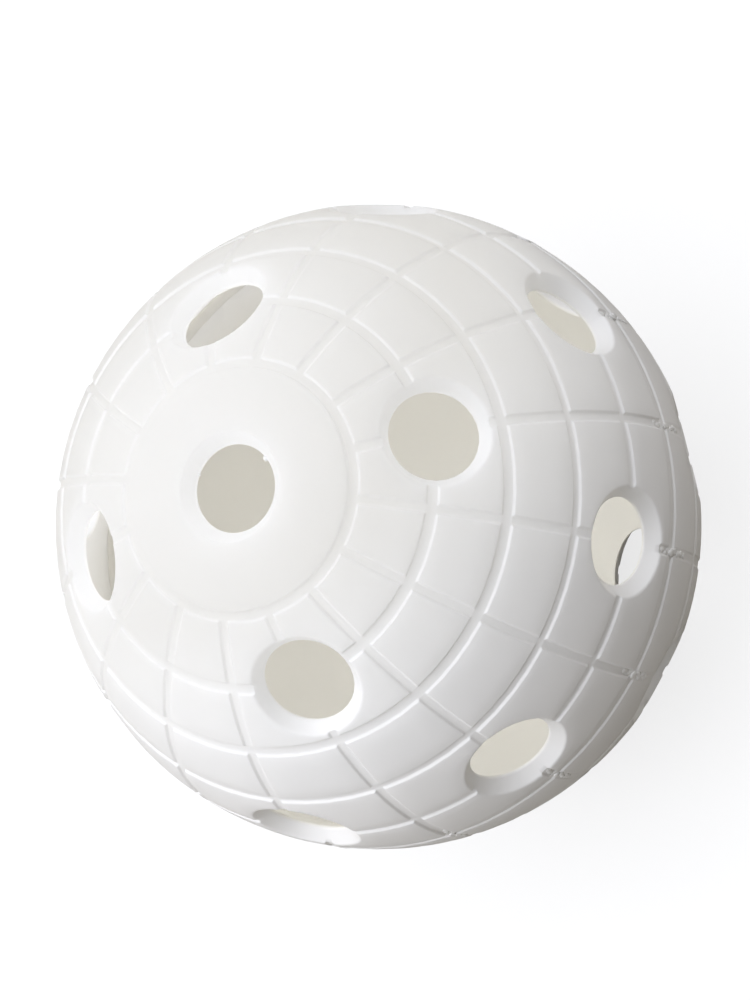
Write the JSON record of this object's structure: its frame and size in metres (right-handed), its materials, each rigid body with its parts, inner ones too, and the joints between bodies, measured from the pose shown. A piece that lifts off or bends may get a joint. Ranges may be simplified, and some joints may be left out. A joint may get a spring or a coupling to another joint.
{
  "type": "floorball",
  "caption": "Hollow white plastic sports ball with round flared holes and a grid of shallow grooves, moulded in halves that are welded at the equator.",
  "frame": {"origin": "centre of the ball", "axes": "+Z out through the upper half's pole hole, +X over one hole of the upper half's inner ring; the weld lies in the XY plane"},
  "size_m": [0.072, 0.072, 0.0708],
  "materials": {
    "shell_plastic": "satin, as moulded",
    "weld_plastic": "satin, as set after welding"
  },
  "bodies": {
    "root": {"upper_half_shell": "shell_plastic", "lower_half_shell": "shell_plastic", "weld_bead": "weld_plastic"}
  },
  "joints": []
}
